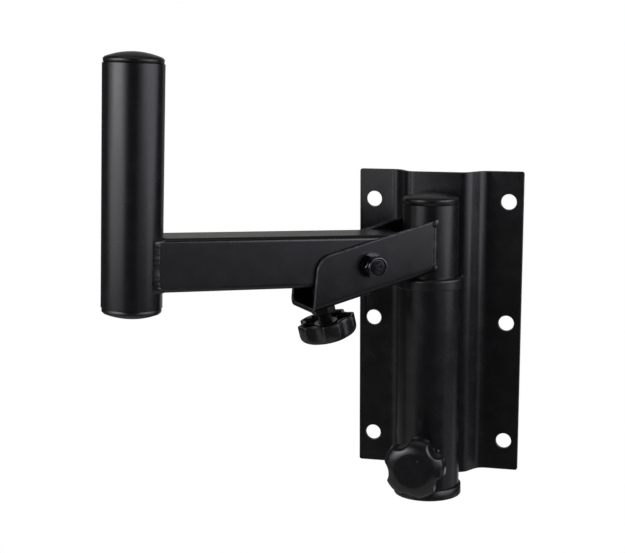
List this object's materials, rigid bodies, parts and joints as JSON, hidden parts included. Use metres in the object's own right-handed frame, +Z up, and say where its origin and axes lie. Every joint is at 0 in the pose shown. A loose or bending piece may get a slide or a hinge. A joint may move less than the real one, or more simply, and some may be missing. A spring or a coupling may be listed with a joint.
{
  "type": "speaker wall bracket",
  "caption": "Wall plate with a socket, a swivelling pivot tube, a tilting square arm and an upright pole for a loudspeaker, set with lobed knobs.",
  "frame": {"origin": "centre of the wall plate's back face, on the wall", "axes": "+Z up, -Y out into the room, +X to the right of a person who faces the wall"},
  "size_m": [0.2222, 0.1739, 0.2808],
  "materials": {
    "black_powder_coat": "satin black powder coat on steel",
    "black_plastic": "moulded black plastic",
    "black_hardware": "black zinc on steel"
  },
  "bodies": {
    "wall": {"wall_plate": "black_powder_coat", "socket_tube": "black_powder_coat", "socket_collar": "black_plastic", "socket_bottom_cap": "black_plastic", "socket_welds": "black_powder_coat", "clamp_nut": "black_powder_coat"},
    "pivot": {"pivot_tube": "black_powder_coat", "pivot_tube_cap": "black_plastic", "tilt_channel": "black_powder_coat", "channel_welds": "black_powder_coat", "pivot_bolt": "black_hardware", "pivot_nut": "black_hardware", "pivot_washers": "black_hardware", "tilt_nut": "black_powder_coat"},
    "arm": {"arm_tube": "black_powder_coat", "arm_weld": "black_powder_coat", "speaker_pole": "black_powder_coat", "pole_top_cap": "black_plastic", "pole_bottom_cap": "black_plastic"},
    "tilt_stud": {"tilt_screw": "black_hardware"},
    "tilt_wheel": {"tilt_knob": "black_plastic"},
    "clamp_stud": {"clamp_screw": "black_hardware"},
    "clamp_wheel": {"clamp_knob": "black_plastic"}
  },
  "joints": [
    {"name": "swivel", "type": "hinge", "parent": "wall", "child": "pivot", "pos_m": [0, -0.0383, 0], "axis": [0, 0, 1], "range_deg": [-38, 142]},
    {"name": "arm_tilt", "type": "hinge", "parent": "pivot", "child": "arm", "pos_m": [-0.03869, -0.06853, 0.04767], "axis": [-0.6157, 0.788, 0], "range_deg": [-17.2, 2.8]},
    {"name": "tilt_screw_travel", "type": "slide", "parent": "pivot", "child": "tilt_stud", "axis": [-0.184, -0.1437, 0.9724], "range_m": [-0.0085, 0.0014]},
    {"name": "tilt_knob_turn", "type": "hinge", "parent": "tilt_stud", "child": "tilt_wheel", "pos_m": [-0.06145, -0.08631, 0.04074], "axis": [-0.184, -0.1437, 0.9724], "range_deg": [-2425, 396]},
    {"name": "clamp_screw_travel", "type": "slide", "parent": "wall", "child": "clamp_stud", "axis": [0, -1, 0], "range_m": [0, 0.006]},
    {"name": "clamp_knob_turn", "type": "hinge", "parent": "clamp_stud", "child": "clamp_wheel", "pos_m": [0, -0.0383, -0.0765], "axis": [0, -1, 0], "range_deg": [0, 1440]}
  ],
  "couplings": [
    {"joint": "tilt_screw_travel", "follows": "arm_tilt", "m_per_rad": 0.028},
    {"joint": "tilt_knob_turn", "follows": "arm_tilt", "ratio": 140.74},
    {"joint": "clamp_screw_travel", "follows": "clamp_knob_turn", "m_per_rad": 0.00023873}
  ]
}
